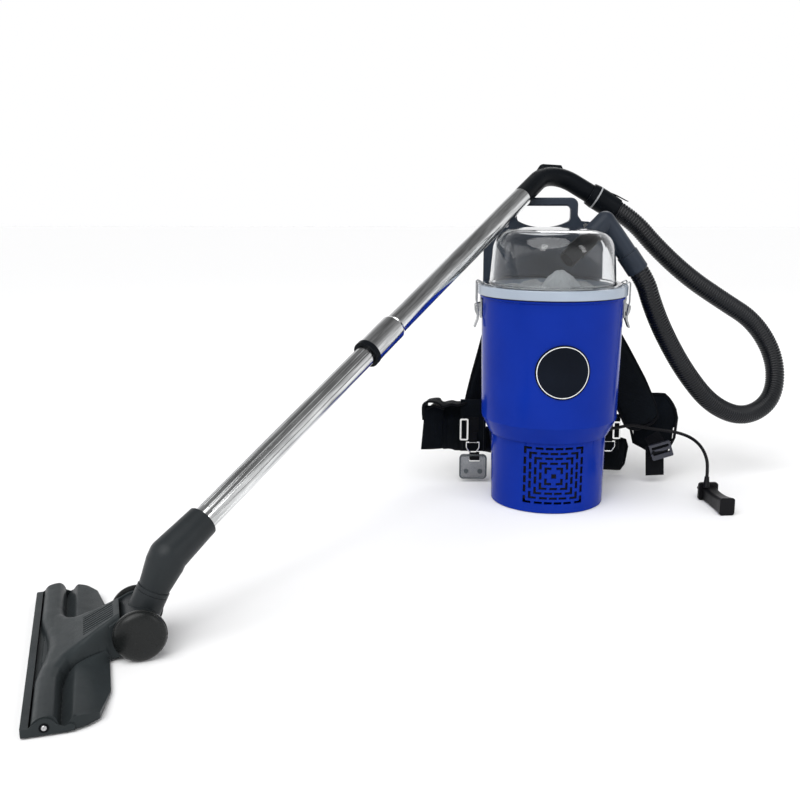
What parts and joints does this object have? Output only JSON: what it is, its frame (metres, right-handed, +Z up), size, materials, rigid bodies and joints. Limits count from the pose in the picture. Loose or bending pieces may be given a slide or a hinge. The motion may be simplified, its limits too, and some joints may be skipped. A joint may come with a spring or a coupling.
{
  "type": "backpack vacuum cleaner",
  "caption": "Tall canister vacuum worn on a padded back plate, with a clear lid, ribbed hose, telescopic bent wand and hinged wheeled floor head.",
  "frame": {"origin": "centre of the canister's base, on the floor", "axes": "+Z up, -Y out of the canister's front, +X to the right of someone facing that front"},
  "size_m": [1.2287, 1.0704, 0.5895],
  "materials": {
    "blue_shell": "gloss moulded",
    "clear_lid": "clear gloss",
    "frosted": "translucent",
    "black_plastic": "fine grain",
    "plate_plastic": "fine grain",
    "head_plastic": "satin",
    "grey_plastic": "satin",
    "white_trim": "gloss",
    "rubber": "matt",
    "hose_rubber": "satin ribbed",
    "chrome": "polished",
    "steel": "brushed",
    "webbing": "woven",
    "pad_fabric": "padded",
    "bag_cloth": "woven",
    "bristle": "dense",
    "foam": "open foam"
  },
  "bodies": {
    "root": {"back_pads": "pad_fabric", "back_plate": "plate_plastic", "badge": "black_plastic", "base_plate": "black_plastic", "cable_gland": "rubber", "canister_shell": "blue_shell", "clear_plate": "frosted", "exhaust_foam": "foam", "fan_housing": "steel", "filter_bag": "bag_cloth", "handle_tube": "black_plastic", "hip_wings": "pad_fabric", "hose": "hose_rubber", "housing_screws": "steel", "inlet_elbow": "black_plastic", "inlet_nozzle": "black_plastic", "ladder_lock": "grey_plastic", "latch_bases": "steel", "latch_pins": "steel", "lid_dome": "clear_lid", "lid_ring": "frosted", "lid_seal": "rubber", "motor_can": "steel", "motor_cover": "blue_shell", "motor_deck": "black_plastic", "motor_mounts": "rubber", "plate_saddles": "plate_plastic", "plate_screws": "steel", "plug": "rubber", "power_lead": "rubber", "shoulder_straps": "pad_fabric", "strap_rings": "chrome", "switch_bezel": "black_plastic", "upper_tube": "chrome", "webbings": "webbing"},
    "rotor": {"fan_rotor": "black_plastic"},
    "latch_lever_left": {"latch_lever_left": "steel"},
    "latch_lever_right": {"latch_lever_right": "steel"},
    "latch_wire_left": {"latch_wire_left": "chrome"},
    "latch_wire_right": {"latch_wire_right": "chrome"},
    "rocker": {"switch_rocker": "black_plastic"},
    "elbow_cuff": {"elbow_cuff": "black_plastic"},
    "hose_cuff": {"hose_cuff": "black_plastic", "cuff_ring": "white_trim"},
    "air_slider": {"air_slider": "black_plastic"},
    "lock_sleeve": {"lock_sleeve": "chrome", "sleeve_ring": "black_plastic"},
    "wand_lower": {"lower_tube": "chrome", "neck": "black_plastic"},
    "swivel_drum": {"swivel_drum": "black_plastic"},
    "head": {"head_body": "head_plastic", "front_strip": "black_plastic", "brush_strip": "bristle", "sole_plate": "steel", "end_caps": "head_plastic", "axle_pins": "steel"},
    "wheel_near": {"head_wheel_near": "head_plastic"},
    "wheel_far": {"head_wheel_far": "head_plastic"},
    "d_ring_left": {"d_ring_left": "chrome"},
    "d_ring_right": {"d_ring_right": "chrome"}
  },
  "joints": [
    {"name": "rotor_spin", "type": "hinge", "parent": "root", "child": "rotor", "pos_m": [0, 0, 0.08], "axis": [0, 0, 1], "continuous": true},
    {"name": "latch_left", "type": "hinge", "parent": "root", "child": "latch_lever_left", "pos_m": [-0.13, 0, 0.345], "axis": [0, 1, 0], "range_deg": [0, 150]},
    {"name": "latch_wire_left_swing", "type": "hinge", "parent": "latch_lever_left", "child": "latch_wire_left", "pos_m": [-0.1275, 0, 0.332], "axis": [0, 1, 0], "range_deg": [-180, 0]},
    {"name": "latch_right", "type": "hinge", "parent": "root", "child": "latch_lever_right", "pos_m": [0.13, 0, 0.345], "axis": [0, -1, 0], "range_deg": [0, 150]},
    {"name": "latch_wire_right_swing", "type": "hinge", "parent": "latch_lever_right", "child": "latch_wire_right", "pos_m": [0.1275, 0, 0.332], "axis": [0, -1, 0], "range_deg": [-180, 0]},
    {"name": "switch_rock", "type": "hinge", "parent": "root", "child": "rocker", "pos_m": [-0.07239, 0.07384, 0.066], "axis": [0.7141, 0.7001, 0], "range_deg": [0, 16]},
    {"name": "elbow_swivel", "type": "hinge", "parent": "root", "child": "elbow_cuff", "pos_m": [0.1363, 0.06, 0.4335], "axis": [0.5832, 0.0523, -0.8107], "continuous": true},
    {"name": "hose_cuff_swivel", "type": "hinge", "parent": "root", "child": "hose_cuff", "pos_m": [0.137, 0.184, 0.506], "axis": [0.8608, -0.0066, -0.5089], "continuous": true},
    {"name": "air_valve", "type": "slide", "parent": "root", "child": "air_slider", "axis": [0.8805, 0.4722, -0.0432], "range_m": [-0.007, 0.007]},
    {"name": "sleeve_lock", "type": "slide", "parent": "root", "child": "lock_sleeve", "axis": [0.507, 0.7401, 0.4418], "range_m": [0, 0.005], "stiffness_N_per_m": 600},
    {"name": "wand_telescope", "type": "slide", "parent": "root", "child": "wand_lower", "axis": [0.507, 0.7401, 0.4418], "range_m": [0, 0.3]},
    {"name": "neck_swivel", "type": "hinge", "parent": "wand_lower", "child": "swivel_drum", "pos_m": [-0.56456, -0.61772, 0.032], "axis": [0.4056, 0.1819, 0.8958], "range_deg": [-90, 90]},
    {"name": "head_tilt", "type": "hinge", "parent": "swivel_drum", "child": "head", "pos_m": [-0.56456, -0.61772, 0.032], "axis": [-0.3171, 0.9484, 0], "range_deg": [-45, 25]},
    {"name": "wheel_near_roll", "type": "hinge", "parent": "head", "child": "wheel_near", "pos_m": [-0.56456, -0.61772, 0.032], "axis": [-0.3171, 0.9484, 0], "continuous": true},
    {"name": "wheel_far_roll", "type": "hinge", "parent": "head", "child": "wheel_far", "pos_m": [-0.56456, -0.61772, 0.032], "axis": [-0.3171, 0.9484, 0], "continuous": true},
    {"name": "d_ring_left_swing", "type": "hinge", "parent": "root", "child": "d_ring_left", "pos_m": [-0.129, 0.0938, 0.076], "axis": [-1, 0, 0], "range_deg": [0, 70]},
    {"name": "d_ring_right_swing", "type": "hinge", "parent": "root", "child": "d_ring_right", "pos_m": [0.128, 0.1088, 0.076], "axis": [-1, 0, 0], "range_deg": [0, 70]}
  ],
  "couplings": [
    {"joint": "latch_wire_left_swing", "follows": "latch_left", "ratio": -1.1667},
    {"joint": "latch_wire_right_swing", "follows": "latch_right", "ratio": -1.1667}
  ]
}
